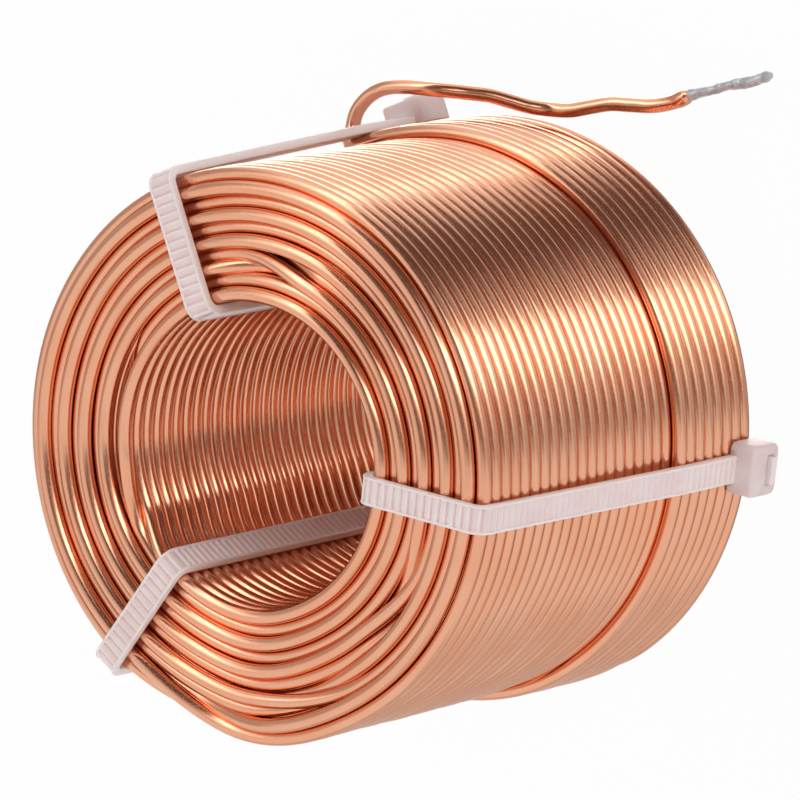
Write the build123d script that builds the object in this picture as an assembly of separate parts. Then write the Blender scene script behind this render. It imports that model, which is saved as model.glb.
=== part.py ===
"""Air-core copper coil standing on its end: one enamelled wire wound in packed layers, both leads
tinned, and three nylon cable ties round the winding. +Z is the winding's axis, Z = 0 is what it
stands on, and angles are counted from +X as seen from above."""

from build123d import *
from math import cos, radians, sin, sqrt, tan
import os

# Wire, over its enamel, and the bared and tinned ends
wire_diameter = 1.48
bare_diameter = 0.84
tinned_diameter = 1.04
tinned_length = 8.8

# Winding: full layers, with one short layer outside them at the lower end
bore_radius = 14.75
turns_per_layer = 28
full_layers = 10
short_layer_turns = 8
turn_spacing = 0.07
groove_fill = 0.25

# Leads: the finish lead's routes are in wire diameters across, up and down from where it leaves
finish_angle = 111.0
finish_lead_in = 8.0
finish_lead_in_depth = 0.59
finish_steps = [
    (-1.87, -0.95, 0.0),
    (-2.05, 3.3, 0.4),
    (3.9, 3.8, 2.2),
    (11.0, 2.1, 6.0),
    (19.3, 3.3, 7.65),
    (27.8, 5.9, 8.0),
]
start_angle = 224.0
start_drop_run = 5.2
start_beyond_rim = 4.0
lead_clearance = 0.03
bend_share = 0.45

# Cable ties
tie_angles = {"cable_tie_right": -7.0, "cable_tie_upper": 111.0, "cable_tie_lower": 232.0}
strap_width = 2.54
strap_thickness = 1.2
strap_clearance = 0.05
rail_width = 0.32
tooth_pitch = 1.0
tooth_run = 0.8
tooth_depth = 0.3
cut_margin = 0.05
plain_strap = 2.5
step_bend = 5.4
head_width = 5.2
head_length = 4.5
head_height = 3.2
head_corner = 0.7
slot_wall = 0.8
slot_clearance = 0.1
tail_bend = 0.9
tail_proud = 0.5

# Sizes that follow from those above
wire_radius = wire_diameter / 2
turn_pitch = wire_diameter + turn_spacing
layer_pitch = sqrt(wire_diameter**2 - (turn_pitch / 2) ** 2)
short_layer = full_layers + 1
back_plane = wire_diameter + lead_clearance
front_plane = back_plane + (turns_per_layer - 0.5) * turn_pitch + wire_diameter


def layer_radius(layer):
    """Radius of a layer's wire, to its centre; layer 1 lines the bore."""
    return bore_radius + wire_radius + (layer - 1) * layer_pitch


def turn_height(layer, turn):
    """Height of a turn's centre: each layer lies in the grooves of the one inside it."""
    stagger = turn_pitch / 2 if layer % 2 else 0
    return back_plane + wire_radius + stagger + turn * turn_pitch


rim_radius = layer_radius(full_layers) + wire_radius
crown_radius = layer_radius(short_layer) + wire_radius
leaving_height = turn_height(short_layer, short_layer_turns - 1)


def polar(radius, angle, height):
    return Vector(radius * cos(radians(angle)), radius * sin(radians(angle)), height)


def skin_turns():
    """Centres of the turns that show: the bore, both ends, and the outer layers."""
    last = turns_per_layer - 1
    shown = {
        1: range(turns_per_layer),
        full_layers: (0, *range(short_layer_turns, turns_per_layer)),
        short_layer: range(short_layer_turns),
    }
    for layer in range(1, short_layer + 1):
        for turn in shown.get(layer, (0, last)):
            yield layer_radius(layer), turn_height(layer, turn)


def core_outline():
    """The packed inside of the section: it reaches groove_fill past the centres of the skin turns."""
    last = turns_per_layer - 1
    low = [(layer_radius(n), turn_height(n, 0) - groove_fill) for n in range(1, short_layer + 1)]
    high = [(layer_radius(n), turn_height(n, last) + groove_fill) for n in range(full_layers, 0, -1)]
    bore = layer_radius(1) - groove_fill
    rim = layer_radius(full_layers) + groove_fill
    crown = layer_radius(short_layer) + groove_fill
    return [
        (bore, low[0][1]),
        *low,
        (crown, low[-1][1]),
        (crown, leaving_height),
        (rim, turn_height(full_layers, short_layer_turns)),
        (rim, high[0][1]),
        *high,
        (bore, high[-1][1]),
    ]


def make_winding():
    """All turns as one solid of revolution, each turn that shows standing out as a round ring."""
    section = make_face(Polyline(*core_outline(), close=True))
    section += [Pos(r, z) * Circle(wire_radius) for r, z in skin_turns()]
    return revolve(Plane.XZ * section, axis=Axis.Z)


def bend_radii(points):
    """Radius at each corner of a route: as large as a share of its shorter run allows."""
    radii = []
    for before, corner, after in zip(points, points[1:], points[2:]):
        arriving = corner - before
        leaving = after - corner
        half_turn = radians(arriving.get_angle(leaving)) / 2
        radii.append(bend_share * min(arriving.length, leaving.length) / tan(half_turn))
    return radii


def rod(path, radius):
    return sweep(Plane(path @ 0, z_dir=path % 0) * Circle(radius), path=path)


def make_lead(route):
    """Enamelled wire along a route, its bared end inside a coat of solder."""
    *bends, tip = route
    run = tip - bends[-1]
    enamel_end = tip - run.normalized() * tinned_length
    points = [*bends, enamel_end]
    wire = rod(FilletPolyline(*points, radius=bend_radii(points)), wire_radius)
    end = Plane(enamel_end, z_dir=run)
    bare_length = tinned_length - (tinned_diameter - bare_diameter) / 2
    bare = extrude(end * Circle(bare_diameter / 2), bare_length)
    coat = extrude(end * Circle(tinned_diameter / 2), tinned_length) - bare
    return wire + bare, coat


def finish_route():
    """Out of the top turn of the short layer under a tie, back over itself, and across the coil."""
    radius = layer_radius(short_layer)
    lead_in = polar(radius - finish_lead_in_depth, finish_angle - finish_lead_in, leaving_height)
    leaving = polar(radius, finish_angle, leaving_height)
    return [lead_in] + [
        leaving + Vector(across, up, -down) * wire_diameter for across, up, down in finish_steps
    ]


def start_route():
    """Off the start of the bore's lowest turn, back along its tangent, down past the end turns and
    out under them. The winding travels counter-clockwise."""
    radius = layer_radius(1)
    touch = polar(radius, start_angle, 0)
    back = Vector(sin(radians(start_angle)), -cos(radians(start_angle)), 0)
    rim_run = sqrt(crown_radius**2 - radius**2) + start_beyond_rim
    low = Vector(0, 0, wire_radius)
    high = Vector(0, 0, turn_height(1, 0) + groove_fill)
    return [
        touch - back * wire_diameter + high,
        touch + back * start_drop_run + low,
        touch + back * (rim_run + tinned_length) + low,
    ]


def strap_routes():
    """Centre line of a strap in a plane through the coil's axis, from its head round to its tail,
    then the stretch of it that enters the head, and the height of the head's foot."""
    half = strap_thickness / 2
    gap = strap_clearance + half
    flat_in_bore = bore_radius - sqrt(bore_radius**2 - (strap_width / 2) ** 2)
    bend = wire_radius + half
    inner = bore_radius - flat_in_bore - gap
    rim = rim_radius + gap
    crown = crown_radius + gap
    top = front_plane + gap
    bottom = back_plane - gap
    slot = bottom + bend + tail_bend + strap_clearance
    head_foot = slot - half - slot_clearance - slot_wall
    tail_tip = crown_radius + strap_clearance + head_height + tail_proud
    points = [
        (crown, head_foot + head_length - slot_wall),
        (crown, leaving_height),
        (rim, top),
        (inner, top),
        (inner, bottom),
        (crown, bottom),
        (crown, slot),
        (tail_tip, slot),
    ]
    whole = FilletPolyline(*points, radius=[step_bend, bend, bend, bend, bend, tail_bend])
    tail = FilletPolyline(*points[-3:], radius=tail_bend)
    return whole, tail, head_foot


def tooth_notches(route):
    """Saw-tooth notches along the strap's outer face, clear of the head."""
    first = head_length + plain_strap
    count = int((route.length - 2 * first) / tooth_pitch)
    corners = [(0, cut_margin), (tooth_run, cut_margin), (tooth_run, 0), (0, -tooth_depth)]
    notch = make_face(Polyline(*corners, close=True))
    places = []
    for index in range(count):
        distance = first + index * tooth_pitch
        at = route.position_at(distance, position_mode=PositionMode.LENGTH)
        tangent = route.tangent_at(distance, position_mode=PositionMode.LENGTH)
        outward = Vector(tangent.Y, -tangent.X, 0)
        face = at + outward * (strap_thickness / 2)
        places.append(Plane(face, x_dir=tangent, z_dir=(0, 0, -1)) * notch)
    return places


def make_tie():
    """One moulded tie, closed and trimmed: smooth rails beside a toothed ladder, and its head."""
    route, tail, head_foot = strap_routes()
    ladder_half = strap_width / 2 - rail_width
    strap = trace(route, line_width=strap_thickness)
    ladder = extrude(strap - tooth_notches(route), ladder_half, both=True)
    rails = extrude(strap, strap_width / 2, both=True) - extrude(strap, ladder_half, both=True)
    middle = Pos(crown_radius + strap_clearance + head_height / 2, head_foot + head_length / 2)
    head = middle * Box(head_height, head_length, head_width)
    head = fillet(head.edges().filter_by(Axis.X).sort_by(Axis.Y)[-2:], head_corner)
    opening = trace(tail, line_width=strap_thickness + 2 * slot_clearance)
    slot = extrude(opening, strap_width / 2 + slot_clearance, both=True)
    return rails + ladder + (head - slot)


def main():
    winding = make_winding()
    finish_lead, finish_coat = make_lead(finish_route())
    start_lead, start_coat = make_lead(start_route())
    parts = {
        "winding": winding + finish_lead + start_lead,
        "finish_lead_solder": finish_coat,
        "start_lead_solder": start_coat,
    }
    upright = Rot(X=90) * make_tie()
    for name, angle in tie_angles.items():
        parts[name] = Rot(Z=angle) * upright
    os.makedirs("parts", exist_ok=True)
    for name, part in parts.items():
        export_step(part, f"parts/{name}.step")


main()
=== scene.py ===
"""Looks of an air-core coil: one enamelled copper wire wound in layers, three nylon cable ties.
Lengths are in millimetres until a mesh is made. +Z is the coil's axis and angles run from +X."""

import bpy
import numpy as np
from mathutils import Matrix, Vector


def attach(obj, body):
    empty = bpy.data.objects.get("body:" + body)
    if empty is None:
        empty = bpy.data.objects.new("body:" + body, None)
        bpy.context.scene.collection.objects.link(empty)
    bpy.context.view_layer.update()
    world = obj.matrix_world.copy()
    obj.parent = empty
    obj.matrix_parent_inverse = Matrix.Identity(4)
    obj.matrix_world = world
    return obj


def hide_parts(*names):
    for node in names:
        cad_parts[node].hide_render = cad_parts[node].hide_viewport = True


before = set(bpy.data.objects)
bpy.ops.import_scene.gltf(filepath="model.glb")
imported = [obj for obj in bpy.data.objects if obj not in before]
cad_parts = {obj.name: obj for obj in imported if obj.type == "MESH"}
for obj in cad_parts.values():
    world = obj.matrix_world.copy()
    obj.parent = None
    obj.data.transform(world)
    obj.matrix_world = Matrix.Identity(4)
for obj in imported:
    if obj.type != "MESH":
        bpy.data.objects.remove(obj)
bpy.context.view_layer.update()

METRES = 0.001
MILLIMETRES_IN_CM = 10.0
DEGREES = 180.0 / np.pi
SHARP_FROM = np.radians(50.0)

# Wire and winding, with the sizes of the part's source
WIRE_RADIUS = 0.74
WIRE_DIAMETER = 2.0 * WIRE_RADIUS
TURN_PITCH = 1.55
BORE_RADIUS = 14.75
BACK_PLANE = 1.51
FULL_LAYER_TURNS = 28
SHORT_LAYER_TURNS = 8
LAYERS = 11

# Sizes that follow from those above: each layer lies in the grooves of the one inside it
LAYER_PITCH = round(np.sqrt(WIRE_DIAMETER**2 - (TURN_PITCH / 2) ** 2), 3)
INNER_LAYER_RADIUS = BORE_RADIUS + WIRE_RADIUS
LOWEST_TURN = BACK_PLANE + WIRE_RADIUS
FIRST_TURN_HEIGHT = LOWEST_TURN + TURN_PITCH / 2
FRONT_PLANE = BACK_PLANE + (FULL_LAYER_TURNS - 0.5) * TURN_PITCH + WIRE_DIAMETER
FINISH_RADIUS = INNER_LAYER_RADIUS + LAYER_PITCH * (LAYERS - 1)
FINISH_HEIGHT = FIRST_TURN_HEIGHT + (SHORT_LAYER_TURNS - 1) * TURN_PITCH
CROWN_RADIUS = FINISH_RADIUS + WIRE_RADIUS
RIM_RADIUS = CROWN_RADIUS - LAYER_PITCH

# Where the wire steps over to its next turn, and where it climbs out of each of the layers, in
# degrees. Layer 10's crossovers drift on with each turn. The first crossover of a layer comes no
# sooner than SETTLING after the climb into it.
START_ANGLE = 224.0
CROSSOVER_ANGLES = (216, 152, 95, 76, 335, 316, 297, 278, 264, 244, 297)
CLIMB_ANGLES = (200, 140, 82, 66, 322, 306, 284, 267, 251, 290, 111)
CROSSOVER_HALF_WIDTH = 12.0
CLIMB_HALF_WIDTH = 15.0
OUTER_DRIFT = 2.15
SETTLING = 40.0
LONGEST_LAST_RUN = 340.0
STEP_REACH = 400.0

# The full layers stand proud where their steps cross each other, but not under the short layer
RIDGE_ANGLE, RIDGE_WIDTH = 272.0, 15.7
RIDGE_FROM, RIDGE_TO = 13.0, 17.0
RIDGE_INSIDE, RIDGE_OUTSIDE = 0.25, 0.8

# The wire isn't quite straight in its groove: amplitude, waves a radian and phase of each ripple
RIPPLES = ((0.030, 1.37, 0.3), (0.024, 2.93, 1.9), (0.016, 6.13, 4.0))
RIPPLE_HEIGHT_WAVES, RIPPLE_HEIGHT_PHASE = 1.3, 2.0

# Sides of the wire and samples a turn: more on the layers that show whole. Between the end turns
# of the other layers, which are hidden, samples lie HIDDEN_STEP degrees apart.
SHOWN_SIDES = {0: 14, LAYERS - 2: 16, LAYERS - 1: 18}
SHOWN_SAMPLES = {0: 120, LAYERS - 2: 160, LAYERS - 1: 160}
END_SIDES, END_SAMPLES, END_TURNS = 12, 144, 2.2
HIDDEN_STEP = 10.0
LEAD_SIDES = 20


def smooth(t):
    """0 below 0, 1 above 1, and 3t² - 2t³ between."""
    t = np.clip(t, 0.0, 1.0)
    return t * t * (3.0 - 2.0 * t)


def unit(vectors):
    return vectors / np.linalg.norm(vectors, axis=-1, keepdims=True)


def polar(radius, angle, height):
    turn = np.radians(angle)
    return (radius * np.cos(turn), radius * np.sin(turn), height)


def lengths_along(points):
    """Distance along a line of points from its first."""
    steps = np.linalg.norm(np.diff(points, axis=0), axis=1)
    return np.concatenate([[0.0], np.cumsum(steps)])


def through(points, spacing):
    """A smooth line through points: on each stretch the cubic whose end slopes are the chords
    between the neighbours on either side, sampled about every `spacing`."""
    points = np.asarray(points, float)
    at = lengths_along(points)
    slope = np.gradient(points, at, axis=0)
    s = np.linspace(0.0, at[-1], int(at[-1] / spacing) + 1)
    i = np.clip(np.searchsorted(at, s, side="right") - 1, 0, len(at) - 2)
    span = (at[i + 1] - at[i])[:, None]
    t = ((s - at[i])[:, None]) / span
    return (
        (2 * t**3 - 3 * t**2 + 1) * points[i]
        + (t**3 - 2 * t**2 + t) * span * slope[i]
        + (3 * t**2 - 2 * t**3) * points[i + 1]
        + (t**3 - t**2) * span * slope[i + 1]
    )


def rounded(points, radii, spacing):
    """A line of straight runs with an arc of the given radius in each corner, as (radius from the
    axis, height) pairs about `spacing` apart."""
    points = np.asarray(points, float)
    line = [points[0]]
    for before, corner, after, radius in zip(points, points[1:], points[2:], radii):
        arriving, leaving = unit(corner - before), unit(after - corner)
        bend = np.arccos(np.clip(arriving @ leaving, -1.0, 1.0))
        reach = radius * np.tan(bend / 2)
        side = np.sign(arriving[0] * leaving[1] - arriving[1] * leaving[0])
        inward = side * np.array([-arriving[1], arriving[0]])
        centre = corner - arriving * reach + inward * radius
        t = np.linspace(0.0, bend, max(3, int(bend * radius / spacing) + 2))[:, None]
        line.extend(centre - radius * (np.cos(t) * inward - np.sin(t) * arriving))
    line.append(points[-1])
    line = np.array(line)
    at = lengths_along(line)
    s = np.linspace(0.0, at[-1], int(at[-1] / spacing) + 1)
    return np.stack([np.interp(s, at, line[:, 0]), np.interp(s, at, line[:, 1])], axis=1)


def tube_grid(centres, radii, sides):
    """Rings round a centre line: centre + radius (cos a · n1 + sin a · n2), where n1 is +Z less its
    share along the line and n2 is the line's direction × n1. The radius may differ from ring to
    ring, and round each ring."""
    along = unit(np.gradient(centres, axis=0))
    up = np.array([0.0, 0.0, 1.0])
    first = unit(up - (along @ up)[:, None] * along)
    second = np.cross(along, first)
    a = np.linspace(0.0, 2.0 * np.pi, sides, endpoint=False)
    radii = np.asarray(radii, float)
    if radii.ndim == 1:
        radii = radii[:, None]
    rings = np.cos(a)[:, None] * first[:, None] + np.sin(a)[:, None] * second[:, None]
    return centres[:, None] + radii[..., None] * rings


def grid_faces(rows, sides, closed_along):
    """Vertex numbers of the quads between neighbouring rows, and of the caps of an open grid."""
    index = np.arange(rows * sides).reshape(rows, sides)
    after = np.roll(index, -1, axis=1)
    quads = np.stack([index, after, np.roll(after, -1, axis=0), np.roll(index, -1, axis=0)], axis=-1)
    if closed_along:
        return quads.reshape(-1, 4), []
    return quads[:-1].reshape(-1, 4), [index[0][::-1], index[-1]]


def grid_uv(length, sides, caps):
    """UV of every face corner: the length along and the share of the way round, and for a cap a
    small circle."""
    share = np.arange(sides + 1) / sides
    i, j = np.indices((len(length) - 1, sides))
    u = np.stack([length[i], length[i], length[i + 1], length[i + 1]], axis=-1)
    v = np.stack([share[j], share[j + 1], share[j + 1], share[j]], axis=-1)
    turn = 2.0 * np.pi * np.arange(sides) / sides
    circle = 0.05 * np.stack([np.cos(turn), np.sin(turn)], axis=1)
    return np.concatenate([np.stack([u, v], axis=-1).reshape(-1, 2), *[circle] * len(caps)])


def grid_mesh(name, grid, along=None, closed_along=False):
    """A mesh from a grid of points, closed round each row and, unless closed_along, capped at both
    ends. UV is the length along in centimetres, from `along` in millimetres where it is given, and
    the share of the way round."""
    rows, sides = grid.shape[:2]
    quads, caps = grid_faces(rows, sides, closed_along)
    corners = np.concatenate([quads.ravel(), *caps])
    sizes = np.array([4] * len(quads) + [len(cap) for cap in caps])
    length = (lengths_along(grid.mean(axis=1)) if along is None else along) / MILLIMETRES_IN_CM
    if closed_along:
        length = np.append(length, length[-1] + 0.02)
    mesh = bpy.data.meshes.new(name)
    mesh.vertices.add(rows * sides)
    mesh.vertices.foreach_set("co", (grid.reshape(-1) * METRES).astype(np.float32))
    mesh.loops.add(len(corners))
    mesh.loops.foreach_set("vertex_index", corners.astype(np.int32))
    mesh.polygons.add(len(sizes))
    mesh.polygons.foreach_set("loop_start", (np.cumsum(sizes) - sizes).astype(np.int32))
    mesh.update(calc_edges=True)
    mesh.polygons.foreach_set("use_smooth", sizes == 4)
    mesh.set_sharp_from_angle(angle=SHARP_FROM)
    surface = mesh.uv_layers.new(name="surface")
    surface.data.foreach_set("uv", grid_uv(length, sides, caps).astype(np.float32).ravel())
    mesh.validate()
    return mesh


def add_piece(name, mesh, material):
    """A finished piece of the coil at the origin, riding on its one body."""
    piece = bpy.data.objects.new(name, mesh)
    bpy.context.scene.collection.objects.link(piece)
    mesh.materials.append(material)
    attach(piece, "root")
    return piece


# Shader nodes


class Value:
    """A number that a shader works out. Each operator on it adds its Math node."""

    def __init__(self, tree, socket):
        self.tree = tree
        self.socket = socket

    def math(self, operation, *others, before=()):
        inputs = dict(enumerate([*before, self, *others]))
        node = self.tree.node("ShaderNodeMath", {"operation": operation}, inputs)
        return self.tree.value(node)

    def __add__(self, other):
        return self.math("ADD", other)

    def __sub__(self, other):
        return self.math("SUBTRACT", other)

    def __rsub__(self, other):
        return self.math("SUBTRACT", before=[other])

    def __mul__(self, other):
        return self.math("MULTIPLY", other)

    __radd__ = __add__
    __rmul__ = __mul__

    def ramp(self, low, high):
        """0 where the number is low, 1 where it is high, and smooth between."""
        node = self.tree.node(
            "ShaderNodeMapRange",
            {"interpolation_type": "SMOOTHSTEP"},
            {"Value": self, "From Min": low, "From Max": high},
        )
        return self.tree.value(node, "Result")


class Tree:
    """The nodes of one material or of the world."""

    # Sockets of a Mix node that mixes colours: the factor and both colours
    MIX_SOCKETS = (0, 6, 7)
    MIXED_COLOUR = 2

    def __init__(self, owner):
        owner.use_nodes = True
        self.nodes = owner.node_tree.nodes
        self.links = owner.node_tree.links
        self.nodes.clear()

    def plug(self, socket, value):
        """Gives a socket a worked-out number, another node's output or a constant."""
        if isinstance(value, Value):
            value = value.socket
        if isinstance(value, bpy.types.NodeSocket):
            self.links.new(value, socket)
        else:
            socket.default_value = value

    def node(self, kind, settings=(), sockets=()):
        """A node of a kind: its settings first, then the value or the link of each socket."""
        node = self.nodes.new(kind)
        for name, value in dict(settings).items():
            setattr(node, name, value)
        for name, value in dict(sockets).items():
            self.plug(node.inputs[name], value)
        return node

    def value(self, node, output=0):
        return Value(self, node.outputs[output])

    def blend(self, share, first, second):
        """The colour that is first where share is 0 and second where it is 1."""
        sockets = dict(zip(self.MIX_SOCKETS, (share, first, second)))
        return self.node("ShaderNodeMix", {"data_type": "RGBA"}, sockets).outputs[self.MIXED_COLOUR]

    def noise(self, vector, scale, detail=2.0, roughness=0.5):
        sockets = {"Vector": vector, "Scale": scale, "Detail": detail, "Roughness": roughness}
        return self.value(self.node("ShaderNodeTexNoise", {}, sockets), "Fac")

    def bump(self, height, strength, distance):
        sockets = {"Strength": strength, "Distance": distance * METRES, "Height": height}
        return self.node("ShaderNodeBump", {}, sockets).outputs[0]

    def on_object(self):
        return self.node("ShaderNodeTexCoord").outputs["Object"]

    def on_surface(self):
        """Length along a piece in centimetres, and the share of the way round it."""
        uv = self.node("ShaderNodeUVMap", {"uv_map": "surface"})
        split = self.node("ShaderNodeSeparateXYZ", {}, {0: uv.outputs[0]})
        return self.value(split, "X"), self.value(split, "Y")

    def along_wire(self, along_scale, round_scale):
        """Seamless coordinates on a wire: its length, and a circle for the way round it."""
        along, share = self.on_surface()
        turn = share * (2.0 * np.pi)
        sockets = {
            "X": along * along_scale,
            "Y": turn.math("COSINE") * round_scale,
            "Z": turn.math("SINE") * round_scale,
        }
        return self.node("ShaderNodeCombineXYZ", {}, sockets).outputs[0]

    def finish(self, kind, shader):
        """Links a shader to the output of the material or the world."""
        output = self.node(kind)
        self.links.new(shader.outputs[0], output.inputs["Surface"])


def opaque(red, green, blue):
    return (red, green, blue, 1.0)


WHITE = opaque(1.0, 1.0, 1.0)
COPPER_DEEP, COPPER_PALE = opaque(0.86, 0.40, 0.235), opaque(0.87, 0.435, 0.27)
COPPER_GLANCING = opaque(1.0, 0.84, 0.78)
NYLON_PINK, NYLON_MILKY = opaque(0.96, 0.765, 0.75), opaque(0.99, 0.85, 0.84)
# Strap nylon with painted light: a paler painted highlight on the rails and the teeth's crests, and painted
# shade in the notches
RAIL_HIGHLIGHT_NYLON, NOTCH_SHADE_NYLON, CREST_HIGHLIGHT_NYLON = (
    opaque(1.0, 0.875, 0.855), opaque(0.88, 0.60, 0.585), opaque(1.0, 0.92, 0.90)
)
SOLDER_DULL, SOLDER_PALE = opaque(0.46, 0.47, 0.50), opaque(0.66, 0.67, 0.70)
DIM_LIGHT = opaque(1.0, 0.68, 0.66)


def enamelled_copper():
    """Drawn copper under clear enamel: metal with fine lengthwise draw lines, and small specks."""
    material = bpy.data.materials.new("enamelled_copper")
    tree = Tree(material)
    lines = tree.noise(tree.along_wire(1.2, 4.0), scale=6.0, detail=3.0, roughness=0.6)
    grain = tree.noise(tree.along_wire(18.0, 1.4), scale=7.0, roughness=0.6)
    pits = tree.noise(tree.along_wire(22.0, 1.5), scale=11.0, detail=1.0).ramp(0.66, 0.74)
    patches = tree.noise(tree.on_object(), scale=160.0).ramp(0.35, 0.65)
    height = 0.6 * lines + 0.4 * grain - 1.5 * pits
    shader = tree.node(
        "ShaderNodeBsdfPrincipled",
        {},
        {
            "Base Color": tree.blend(patches, COPPER_DEEP, COPPER_PALE),
            "Metallic": 1.0,
            "Roughness": 0.13 + 0.10 * lines.ramp(0.35, 0.75) + 0.06 * grain.ramp(0.5, 0.8),
            "Specular Tint": COPPER_GLANCING,
            "Coat Weight": 0.45,
            "Coat Roughness": 0.06,
            "Coat IOR": 1.5,
            "Normal": tree.bump(height, strength=0.16, distance=0.02),
        },
    )
    tree.finish("ShaderNodeOutputMaterial", shader)
    return material


def ladder_colour_with_painted_light(tree, colour):
    """Nylon of a strap with painted light: rails painted paler as a painted highlight, and between
    them a ladder whose notches are deep and pink with painted shade and whose crests carry a
    painted highlight. Rails and ladder lie at fixed shares of the way round."""
    along, way_round = tree.on_surface()
    phase = (along * (MILLIMETRES_IN_CM / TOOTH_PITCH)).math("FRACT")
    ladder = way_round.ramp(0.37, 0.41) * (1.0 - way_round.ramp(0.54, 0.58))
    crest_highlight = phase.ramp(0.90, 0.97) + (1.0 - phase.ramp(0.05, 0.18))
    notch_shade = phase.ramp(0.45, 0.80) * (1.0 - phase.ramp(0.84, 0.90))
    # Rails and all of the strap outside the ladder painted paler: a painted highlight
    colour = tree.blend(1.0 - ladder, colour, RAIL_HIGHLIGHT_NYLON)
    # Painted shade in the ladder's notches
    colour = tree.blend(ladder * notch_shade * 0.7, colour, NOTCH_SHADE_NYLON)
    # Painted highlight on the crests of the teeth
    return tree.blend(ladder * crest_highlight, colour, CREST_HIGHLIGHT_NYLON)


def nylon(name, toothed):
    """Natural nylon: milky, pink where the copper shows through, with moulding grain."""
    material = bpy.data.materials.new(name)
    tree = Tree(material)
    place = tree.on_object()
    cloud = tree.noise(place, scale=450.0)
    grain = tree.noise(place, scale=3500.0, roughness=0.6)
    colour = tree.blend(cloud.ramp(0.3, 0.7), NYLON_PINK, NYLON_MILKY)
    shader = tree.node(
        "ShaderNodeBsdfPrincipled",
        {},
        {
            "Base Color": ladder_colour_with_painted_light(tree, colour) if toothed else colour,
            "Roughness": 0.28 + 0.12 * cloud,
            "IOR": 1.35,
            "Transmission Weight": 0.15,
            "Subsurface Weight": 0.4,
            "Subsurface Radius": (1.0, 0.7, 0.6),
            "Subsurface Scale": 0.3 * METRES,
            "Normal": tree.bump(grain, strength=0.2, distance=0.03),
        },
    )
    tree.finish("ShaderNodeOutputMaterial", shader)
    return material


def solder():
    """Tinned wire end: dull bluish-grey metal, paler and smoother on its lumps."""
    material = bpy.data.materials.new("solder")
    tree = Tree(material)
    lumps = tree.noise(tree.on_object(), scale=1300.0, detail=3.0, roughness=0.6)
    shader = tree.node(
        "ShaderNodeBsdfPrincipled",
        {},
        {
            "Base Color": tree.blend(lumps.ramp(0.35, 0.62), SOLDER_DULL, SOLDER_PALE),
            "Metallic": 0.6,
            "Roughness": 0.55 - 0.25 * lumps.ramp(0.4, 0.7),
            "Normal": tree.bump(lumps, strength=0.4, distance=0.15),
        },
    )
    tree.finish("ShaderNodeOutputMaterial", shader)
    return material


# The wire


def next_angle(after, wanted):
    """The first angle past `after` that is `wanted` on the circle."""
    return after + (wanted - after) % 360.0


def wire_steps():
    """Every crossover and climb as (angle, half width, rise, outward step), and each layer's span.
    Odd layers travel up and even ones down, so a climb also moves the wire half a pitch, into the
    groove that waits for it."""
    steps, spans = [], []
    start = START_ANGLE
    for layer in range(LAYERS):
        travel = 1.0 if layer % 2 == 0 else -1.0
        turns = FULL_LAYER_TURNS if layer < LAYERS - 1 else SHORT_LAYER_TURNS
        angle = next_angle(start + SETTLING, CROSSOVER_ANGLES[layer])
        for _ in range(turns - 1):
            steps.append((angle, CROSSOVER_HALF_WIDTH, travel * TURN_PITCH, 0.0))
            angle += 360.0 + (OUTER_DRIFT if layer == LAYERS - 2 else 0.0)
        end = next_angle(angle - LONGEST_LAST_RUN, CLIMB_ANGLES[layer])
        if layer < LAYERS - 1:
            steps.append((end, CLIMB_HALF_WIDTH, -travel * TURN_PITCH / 2, LAYER_PITCH))
        spans.append((start, end))
        start = end
    return np.array(steps), spans


def turned(angle, centre):
    """Signed angle from centre to angle, the short way round."""
    return (angle - centre + 180.0) % 360.0 - 180.0


def wire_centres(angles, steps):
    """The wire's centre at each angle: radius and height are sums of smooth steps, one for each
    crossover and climb, the radius also has the ridge, and both have the ripples."""
    past = steps[steps[:, 0] <= angles[0] - STEP_REACH]
    near = steps[(steps[:, 0] > angles[0] - STEP_REACH) & (steps[:, 0] < angles[-1] + STEP_REACH)]
    share = smooth((angles[:, None] - near[:, 0] + near[:, 1]) / (2.0 * near[:, 1]))
    height = FIRST_TURN_HEIGHT + past[:, 2].sum() + share @ near[:, 2]
    radius = INNER_LAYER_RADIUS + past[:, 3].sum() + share @ near[:, 3]
    depth = (radius - INNER_LAYER_RADIUS) / (LAYER_PITCH * (LAYERS - 1))
    ridge = RIDGE_INSIDE + (RIDGE_OUTSIDE - RIDGE_INSIDE) * depth
    ridge = ridge * smooth((height - RIDGE_FROM) / (RIDGE_TO - RIDGE_FROM))
    radius = radius + ridge * np.exp(-((turned(angles, RIDGE_ANGLE) / RIDGE_WIDTH) ** 2))
    turn = np.radians(angles)
    for amplitude, waves, phase in RIPPLES:
        radius = radius + amplitude * np.sin(waves * turn + phase)
        rise = RIPPLE_HEIGHT_WAVES * waves * turn + RIPPLE_HEIGHT_PHASE * phase
        height = height + amplitude * np.cos(rise)
    return np.stack([radius * np.cos(turn), radius * np.sin(turn), height], axis=1)


def layer_angles(layer, span):
    """Angles at which a layer's centre line is sampled: close together on the turns that show."""
    start, end = span
    if layer in SHOWN_SAMPLES:
        return np.linspace(start, end, int((end - start) / 360.0 * SHOWN_SAMPLES[layer]) + 1)
    first, last = start + END_TURNS * 360.0, end - END_TURNS * 360.0
    close = END_SAMPLES / 360.0
    return np.concatenate([
        np.linspace(start, first, int((first - start) * close), endpoint=False),
        np.linspace(first, last, int((last - first) / HIDDEN_STEP), endpoint=False),
        np.linspace(last, end, int((end - last) * close) + 1),
    ])


def wind_coil(copper):
    """One tube for each layer, end to end along the wire."""
    steps, spans = wire_steps()
    pieces = []
    for layer, span in enumerate(spans):
        centres = wire_centres(layer_angles(layer, span), steps)
        tube = tube_grid(centres, WIRE_RADIUS, SHOWN_SIDES.get(layer, END_SIDES))
        mesh = grid_mesh(f"layer_{layer + 1:02d}", tube)
        pieces.append(add_piece(f"winding_layer_{layer + 1:02d}", mesh, copper))
    return pieces


# The leads

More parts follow.
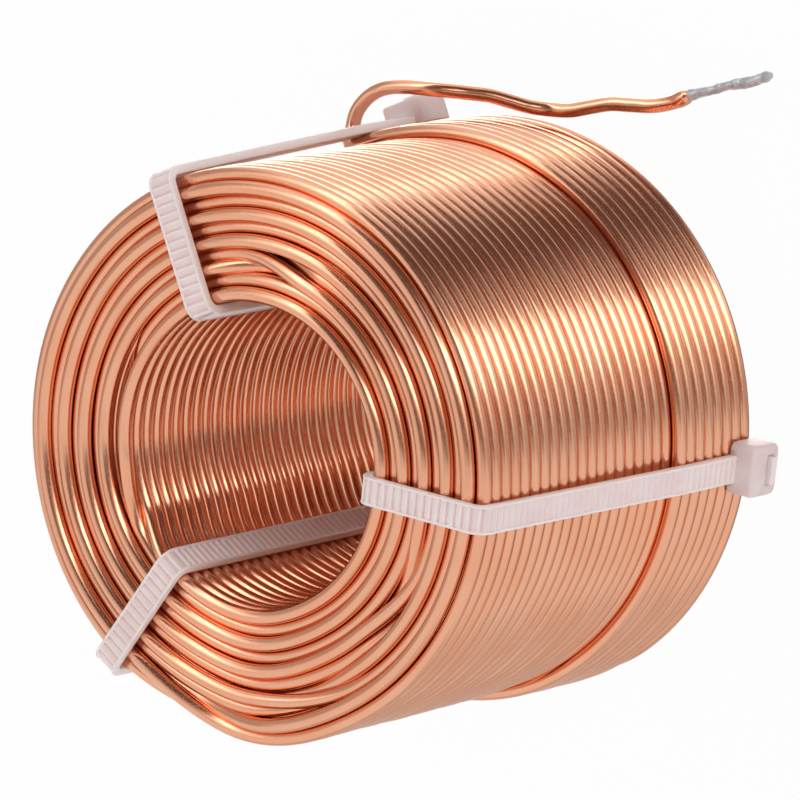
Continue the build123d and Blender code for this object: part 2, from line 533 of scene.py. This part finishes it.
FINISH_ANGLE = 111.0
LAST_TURN_ANGLES = (101.0, 104.0, 107.0, 110.0)


def by_the_tie(outward, along, height):
    """A point near where the wire leaves: distances outwards and along the turn there."""
    out = np.array(polar(1.0, FINISH_ANGLE, 0.0))
    way = np.array(polar(1.0, FINISH_ANGLE + 90.0, 0.0))
    return tuple(out * outward + way * along + np.array([0.0, 0.0, height]))


# The finish lead's route: off the last turn, out from under the tie, back over itself and across
FINISH_LEAD = (
    *[polar(FINISH_RADIUS, angle, FINISH_HEIGHT) for angle in LAST_TURN_ANGLES],
    by_the_tie(28.15, 1.15, 13.75),
    by_the_tie(28.75, 2.15, 13.0),
    by_the_tie(30.1, 2.25, 11.9),
    (-12.60, 28.95, 11.6),
    (-10.85, 30.95, 11.2),
    (-9.45, 31.55, 11.15),
    (-7.0, 31.85, 11.0),
    (-4.23, 31.78, 10.6),
    (-0.70, 31.45, 8.73),
    (1.07, 31.23, 7.8),
    (2.83, 30.72, 6.87),
    (4.59, 30.20, 5.93),
    (6.35, 29.95, 5.0),
    (8.47, 29.97, 4.58),
    (10.58, 30.4, 4.16),
    (12.69, 30.8, 3.73),
    (14.79, 30.8, 3.31),
    (16.88, 30.81, 2.89),
    (19.01, 31.21, 2.53),
    (21.31, 32.10, 2.43),
)
FINISH_TIP = (
    FINISH_LEAD[-1],
    (24.5, 33.0, 2.3),
    (27.6, 33.75, 2.15),
    (30.6, 34.6, 2.03),
)

# The start lead's routes: the last runs on its turn, then run along the tangent and height
START_RUNS_ON_TURN = (2.4, 1.2)
START_ROUTE = (
    (0.0, FIRST_TURN_HEIGHT - 0.05),
    (1.6, 2.3),
    (3.6, 1.15),
    (5.6, 0.76),
    (9.0, WIRE_RADIUS),
    (20.0, WIRE_RADIUS),
    (28.33, WIRE_RADIUS),
)
START_TIP = (START_ROUTE[-1], (31.0, 0.74), (34.0, 0.76), (37.1, 0.74))

# Tinned ends: radius, how much thicker the outer half is, and the lumps in the solder
SOLDER_RADIUS, SOLDER_SWELL = 0.5, 0.07
LUMP_WAVES, LUMP_HEIGHT, LUMP_RATE = range(1, 7), 0.026, 1.1
SOLDER_SWAY, SWAY_RATE = 0.05, 1.4


def start_lead_points():
    """Off the first turn, back along its tangent, down past the end turns and out under them."""
    back = np.array(polar(1.0, START_ANGLE - 90.0, 0.0))
    touch = np.array(polar(INNER_LAYER_RADIUS, START_ANGLE, 0.0))

    def points(route):
        return [touch + back * run + np.array([0.0, 0.0, height]) for run, height in route]

    on_turn = [
        polar(INNER_LAYER_RADIUS, START_ANGLE + run / INNER_LAYER_RADIUS * DEGREES, FIRST_TURN_HEIGHT)
        for run in START_RUNS_ON_TURN
    ]
    return [*on_turn, *points(START_ROUTE)], points(START_TIP)


def solder_end(name, points, seed, metal):
    """A bared end dipped in solder: a tube that swells and dips a little along and round it, is
    thickest in its outer half and ends in a blunt, rounded tip."""
    centres = through(points, 0.07)
    s = lengths_along(centres)
    share = s / s[-1]
    a = np.linspace(0.0, 2.0 * np.pi, LEAD_SIDES, endpoint=False)
    rng = np.random.default_rng(seed)
    radius = SOLDER_RADIUS + SOLDER_SWELL * smooth((share - 0.35) / 0.3)[:, None]
    for wave in LUMP_WAVES:
        phase = rng.uniform(0.0, 2.0 * np.pi, 2)
        twist = rng.integers(0, 3)
        lump = np.sin(s[:, None] * wave * LUMP_RATE + phase[0] + twist * a)
        radius = radius + LUMP_HEIGHT / wave**0.5 * lump
    radius *= (0.55 + 0.45 * smooth((1.0 - share) / 0.06))[:, None]
    radius *= (0.95 + 0.2 * smooth((0.10 - share) / 0.10))[:, None]
    sway = SOLDER_SWAY * np.sin(s * SWAY_RATE + 1.0) * smooth(share * 4.0)
    centres = centres + np.stack([np.zeros_like(s), sway, 0.6 * sway], axis=1)
    mesh = grid_mesh(name, tube_grid(centres, radius, LEAD_SIDES))
    return add_piece(name, mesh, metal)


def lead(name, points, copper):
    """Enamelled wire along a line, a little swollen where its enamel was stripped, then narrower."""
    centres = through(points, 0.16)
    s = lengths_along(centres)
    left = s[-1] - s
    swell = 0.10 * smooth(1.0 - abs(left - 1.1) / 1.0)
    narrowing = 0.18 * smooth(1.0 - left / 0.5)
    tube = tube_grid(centres, WIRE_RADIUS * (1.0 + swell - narrowing), LEAD_SIDES)
    return add_piece(name, grid_mesh(name, tube), copper)


# Cable ties

TIE_ANGLES = {"cable_tie_right": -7.0, "cable_tie_upper": 111.0, "cable_tie_lower": 232.0}
STRAP_WIDTH, STRAP_THICKNESS = 2.75, 0.95
STRAP_CLEARANCE = 0.05
STRAP_ROUNDING = 0.14
STRAP_SPACING = 0.1125
RAIL_WIDTH = 0.24
RAIL_SLOPE = 0.04
TOOTH_PITCH, TOOTH_DEPTH = 0.9, 0.30
LADDER_DEPTH, TOOTH_FALL, TOOTH_FADE = 0.05, 0.86, 0.8
PLAIN_STRAP = 7.0
STEP_BEND, TAIL_BEND, TAIL_PROUD = 5.4, 0.9, 0.5
HEAD_WIDTH, HEAD_LENGTH, HEAD_HEIGHT = 5.2, 4.5, 2.8
HEAD_ROUNDING, HEAD_SQUARENESS, HEAD_SIDES = 0.35, 7.0, 72
SLOT_WIDTH, SLOT_HEIGHT, SLOT_SQUARENESS = 2.9, 1.15, 14.0
SLOT_WALL, SLOT_CLEARANCE = 0.8, 0.1


def strap_section(deep):
    """Distances across and heights round a strap's section: a flat back, two rounded rails, and
    the ladder between them, `deep` below the rails."""
    w, t, r = STRAP_WIDTH / 2, STRAP_THICKNESS / 2, STRAP_ROUNDING
    cut = r * (1.0 - np.sqrt(0.5))
    ladder = w - RAIL_WIDTH
    half = np.array([
        (r - w, -t), (cut - w, cut - t), (-w, r - t), (-w, t - r), (cut - w, t - cut), (r - w, t),
        (-ladder - RAIL_SLOPE, t), (-ladder, t - 0.03), (0.03 - ladder, t), (-0.4 * ladder, t),
    ])
    x = np.concatenate([half[:, 0], -half[::-1, 0]])
    y = np.concatenate([half[:, 1], half[::-1, 1]])
    return x, y - deep[:, None] * (abs(x) < ladder)


def tooth_depths(s, first, last):
    """Depth of the ladder at each length: a saw-tooth that falls slowly and rises fast."""
    phase = (s / TOOTH_PITCH) % 1.0
    tooth = np.where(phase < TOOTH_FALL, phase / TOOTH_FALL, (1.0 - phase) / (1.0 - TOOTH_FALL))
    inside = smooth((s - first) / TOOTH_FADE) * smooth((last - s) / TOOTH_FADE)
    return LADDER_DEPTH + (TOOTH_DEPTH - LADDER_DEPTH) * tooth * inside


def strap_line():
    """The strap's centre line in a plane through the axis, from its head round to its tail, and
    the heights of the slot and of the head's foot."""
    half = STRAP_THICKNESS / 2
    gap = STRAP_CLEARANCE + half
    inner = np.sqrt(BORE_RADIUS**2 - (STRAP_WIDTH / 2) ** 2) - gap
    bend = WIRE_RADIUS + half
    rim, crown = RIM_RADIUS + gap, CROWN_RADIUS + gap
    top, bottom = FRONT_PLANE + gap, BACK_PLANE - gap
    slot = bottom + bend + TAIL_BEND + STRAP_CLEARANCE
    foot = slot - half - SLOT_CLEARANCE - SLOT_WALL
    tail = CROWN_RADIUS + STRAP_CLEARANCE + HEAD_HEIGHT + TAIL_PROUD
    points = [
        (crown, foot + HEAD_LENGTH - SLOT_WALL),
        (crown, FINISH_HEIGHT),
        (rim, top),
        (inner, top),
        (inner, bottom),
        (crown, bottom),
        (crown, slot),
        (tail, slot),
    ]
    return rounded(points, [STEP_BEND, bend, bend, bend, bend, TAIL_BEND], STRAP_SPACING), slot, foot


def place(flat, across, angle):
    """Points from (radius from the axis, height) pairs and distances across, turned to an angle."""
    r, z = flat[..., 0], flat[..., 1]
    turn = np.radians(angle)
    x = r * np.cos(turn) - across * np.sin(turn)
    y = r * np.sin(turn) + across * np.cos(turn)
    return np.stack([x, y, z], axis=-1)


def tie_strap(angle):
    """The strap's section carried along its line, its ladder cut by the teeth, and the length of
    the line at each row."""
    line, _, _ = strap_line()
    s = lengths_along(line)
    along = unit(np.gradient(line, axis=0))
    outward = np.stack([along[:, 1], -along[:, 0]], axis=1)
    x, y = strap_section(tooth_depths(s, PLAIN_STRAP, s[-1] - PLAIN_STRAP))
    flat = line[:, None] + y[..., None] * outward[:, None]
    return place(flat, x, angle)[:, ::-1], s


def rounded_box(width, height, squareness):
    """Points round a superellipse: |2x / width|ⁿ + |2y / height|ⁿ = 1, with n the squareness."""
    a = np.linspace(0.0, 2.0 * np.pi, HEAD_SIDES, endpoint=False)
    c, s = np.cos(a), np.sin(a)
    return np.stack([
        width / 2 * np.sign(c) * abs(c) ** (2.0 / squareness),
        height / 2 * np.sign(s) * abs(s) ** (2.0 / squareness),
    ], axis=1)


def tie_head(angle):
    """A rounded block with a slot through it: a loop that goes up outside it, over its rim, down
    inside the slot and back under, carried round a rounded rectangle."""
    _, slot, foot = strap_line()
    middle = foot + HEAD_LENGTH / 2
    outer = rounded_box(HEAD_WIDTH, HEAD_LENGTH, HEAD_SQUARENESS)
    hole = rounded_box(SLOT_WIDTH, SLOT_HEIGHT, SLOT_SQUARENESS)
    hole[:, 1] += slot - middle
    low = CROWN_RADIUS + STRAP_CLEARANCE
    high = low + HEAD_HEIGHT
    steps = (
        (outer, 1.0, low + 0.1),
        (outer, 1.0, low + 0.8),
        (outer, 1.0, high - HEAD_ROUNDING),
        (outer, 0.975, high - 0.4 * HEAD_ROUNDING),
        (outer, 0.94, high - 0.1 * HEAD_ROUNDING),
        (outer, 0.9, high),
        (hole, 1.12, high),
        (hole, 1.02, high - 0.06),
        (hole, 1.0, high - 0.25),
        (hole, 1.0, low + 0.2),
        (hole, 1.05, low),
        (outer, 0.95, low),
    )
    rows = []
    for shape, size, radius in steps:
        flat = np.stack([np.full(HEAD_SIDES, radius), shape[:, 1] * size + middle], axis=1)
        rows.append(place(flat, shape[:, 0] * size, angle))
    return np.array(rows)


def make_tie(name, angle, ladder_nylon, plain_nylon):
    """A closed, trimmed tie: its strap, which stands for the CAD tie, and its head."""
    mesh = grid_mesh(name + "_strap", *tie_strap(angle))
    strap = add_piece(name + "_strap", mesh, ladder_nylon)
    mesh = grid_mesh(name + "_head", tie_head(angle), closed_along=True)
    add_piece(name + "_head", mesh, plain_nylon)
    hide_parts(name)


# Camera, studio and table

# The camera's axes in the coil's frame, and where it stands: its distance from the middle of the
# picture, which is a number of turns below the coil's front, and its shift from there
CAMERA_SIDE = np.array([0.8017, 0.0, -0.5979])
CAMERA_UP = np.array([-0.0909, 0.9884, -0.1219])
CAMERA_BACK = np.array([0.591, 0.152, 0.792])
CAMERA_DISTANCE = 702.0
CAMERA_AIM_TURNS = 14.25
CAMERA_SHIFT_SIDE, CAMERA_SHIFT_UP = 1.369, 2.617
SENSOR_WIDTH, FOCAL_LENGTH = 36.0, 323.1

# What the copper mirrors, each patch painted over those before it: its strength, its left, right,
# low and high edges and the width of its soft edge, in degrees
STUDIO = (
    # the table, all round, then nearer the camera, behind to the right and behind to the left
    (0.92, -400, 400, -100, -8, 10),
    (0.70, -25, 80, -100, -64, 14),
    (0.64, 100, 400, -100, -8, 30),
    (0.66, -400, -125, -100, -38, 20),
    # the left wall, and a low screen between it and the camera
    (0.50, -150, -78, -8, 52, 16),
    (0.55, -70, -20, -10, 12, 10),
    # the dark ceiling over the camera, with a paler band to the right
    (0.12, -42, 118, 30, 76, 14),
    (0.45, 35, 118, 38, 50, 14),
    # the far edge of the table, darker in front of the camera
    (0.52, -42, 122, -9, 10, 8),
    (0.20, -44, 30, -12, 2, 8),
    # three white boards to the right
    (1.00, 28, 58, 1, 14, 8),
    (0.62, 48, 128, 9, 19, 8),
    (1.15, 50, 122, 19, 37, 10),
    # dark cloth behind to the right, and beside the camera to the left
    (0.12, 128, 165, -18, 46, 12),
    (0.13, -46, -10, 7, 52, 8),
)

# Lamps: a light bank behind the coil, which crosses the back, a leaning strip light and a softbox
BACK_LIGHT, BACK_LIGHT_EDGES = 2.5, ((158, 400, 14, 42, 12), (-400, -164, 14, 42, 12))
STRIP_EDGES, STRIP_LEAN = (-76, -57, -2, 84, 8), 0.3
SOFTBOX, SOFTBOX_EDGES, SOFTBOX_LEAN = 2.4, (-7, 56, 11.5, 60, 5), 0.2

TABLE_HALF = 2500.0
TABLE_GREY = opaque(0.8, 0.8, 0.8)
TABLE_WHITENESS = 0.97


def set_camera():
    """Looks at the coil from the photograph's direction: the camera's axes are rows of the frame."""
    data = bpy.data.cameras.new("camera")
    camera = bpy.data.objects.new("camera", data)
    bpy.context.scene.collection.objects.link(camera)
    data.sensor_width = SENSOR_WIDTH
    data.lens = FOCAL_LENGTH
    data.clip_start = 0.01
    data.clip_end = 10.0
    middle = np.array([0.0, 0.0, FRONT_PLANE - CAMERA_AIM_TURNS * TURN_PITCH])
    shift = CAMERA_SHIFT_SIDE * CAMERA_SIDE + CAMERA_SHIFT_UP * CAMERA_UP
    at = middle + CAMERA_DISTANCE * CAMERA_BACK + shift
    side = Vector(CAMERA_SIDE).normalized()
    back = Vector(CAMERA_BACK).normalized()
    up = back.cross(side).normalized()
    side = up.cross(back)
    turn = Matrix((side, up, back)).transposed()
    camera.matrix_world = Matrix.Translation(Vector(at * METRES)) @ turn.to_4x4()
    bpy.context.scene.camera = camera


def set_world():
    """A studio round the coil, by direction. Azimuth is in degrees from the camera's side, positive
    to its right, and elevation is in degrees above the camera's level."""
    world = bpy.data.worlds.new("studio")
    bpy.context.scene.world = world
    tree = Tree(world)
    direction = tree.node("ShaderNodeTexCoord").outputs["Generated"]

    def share_of(axis):
        sockets = {0: direction, 1: tuple(axis)}
        return tree.value(tree.node("ShaderNodeVectorMath", {"operation": "DOT_PRODUCT"}, sockets), "Value")

    side, up, back = share_of(CAMERA_SIDE), share_of(CAMERA_UP), share_of(CAMERA_BACK)
    azimuth = side.math("ARCTAN2", back) * DEGREES
    elevation = up.math("ARCSINE") * DEGREES

    def patch(left, right, low, high, soft, across=azimuth):
        """1 inside a range of directions and 0 outside, with edges that are `soft` degrees wide."""
        half = soft / 2
        mask = across.ramp(left - half, left + half) * elevation.ramp(low - half, low + half)
        mask = mask * (1.0 - across.ramp(right - half, right + half))
        return mask * (1.0 - elevation.ramp(high - half, high + half))

    light = 1.0
    for strength, *edges in STUDIO:
        light = light + patch(*edges) * (strength - light)
    light = light + (patch(*BACK_LIGHT_EDGES[0]) + patch(*BACK_LIGHT_EDGES[1])) * BACK_LIGHT
    strip = patch(*STRIP_EDGES, across=azimuth - STRIP_LEAN * elevation)
    light = light + strip * (0.5 + 1.4 * elevation.ramp(5.0, 40.0))
    top_edge = (elevation - SOFTBOX_LEAN * azimuth).ramp(20.0, 27.0)
    light = light + patch(*SOFTBOX_EDGES) * (1.0 - top_edge) * SOFTBOX
    seen = tree.value(tree.node("ShaderNodeLightPath"), "Is Camera Ray")
    strength = light * (1.0 - seen) + seen
    warmth = tree.blend(strength.ramp(0.1, 0.6), DIM_LIGHT, WHITE)
    background = tree.node("ShaderNodeBackground", {}, {"Color": warmth, "Strength": strength})
    tree.finish("ShaderNodeOutputWorld", background)


def set_floor():
    """A pale table top that the coil stands on: it takes the shadow, is white to the camera, and
    shows the studio's own light to metal and nylon."""
    half = TABLE_HALF * METRES
    corners = [(-half, -half, 0.0), (half, -half, 0.0), (half, half, 0.0), (-half, half, 0.0)]
    mesh = bpy.data.meshes.new("table_top")
    mesh.from_pydata(corners, [], [(0, 1, 2, 3)])
    floor = bpy.data.objects.new("table_top", mesh)
    bpy.context.scene.collection.objects.link(floor)
    material = bpy.data.materials.new("table_top")
    mesh.materials.append(material)
    tree = Tree(material)
    ray = tree.node("ShaderNodeLightPath")
    seen = tree.value(ray, "Is Camera Ray")
    mirrored = tree.value(ray, "Is Glossy Ray").math("MAXIMUM", tree.value(ray, "Is Transmission Ray"))
    surface = tree.node("ShaderNodeBsdfDiffuse", {}, {"Color": TABLE_GREY})
    glow = tree.node("ShaderNodeEmission", {}, {"Color": WHITE, "Strength": 1.0})
    clear = tree.node("ShaderNodeBsdfTransparent")
    sockets = {0: TABLE_WHITENESS * seen, 1: surface.outputs[0], 2: glow.outputs[0]}
    white = tree.node("ShaderNodeMixShader", {}, sockets)
    sockets = {0: mirrored, 1: white.outputs[0], 2: clear.outputs[0]}
    tree.finish("ShaderNodeOutputMaterial", tree.node("ShaderNodeMixShader", {}, sockets))


copper, metal = enamelled_copper(), solder()
ladder_nylon, plain_nylon = nylon("nylon_strap", True), nylon("nylon_head", False)

layers = wind_coil(copper)
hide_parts("winding")
lead("finish_lead", FINISH_LEAD, copper)
tip = solder_end("finish_lead_end", FINISH_TIP, 3, metal)
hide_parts("finish_lead_solder")
start_points, start_tip = start_lead_points()
lead("start_lead", start_points, copper)
tip = solder_end("start_lead_end", start_tip, 8, metal)
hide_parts("start_lead_solder")
for tie_name, tie_angle in TIE_ANGLES.items():
    make_tie(tie_name, tie_angle, ladder_nylon, plain_nylon)

set_camera()
set_world()
set_floor()
bpy.context.scene.view_settings.view_transform = "Standard"
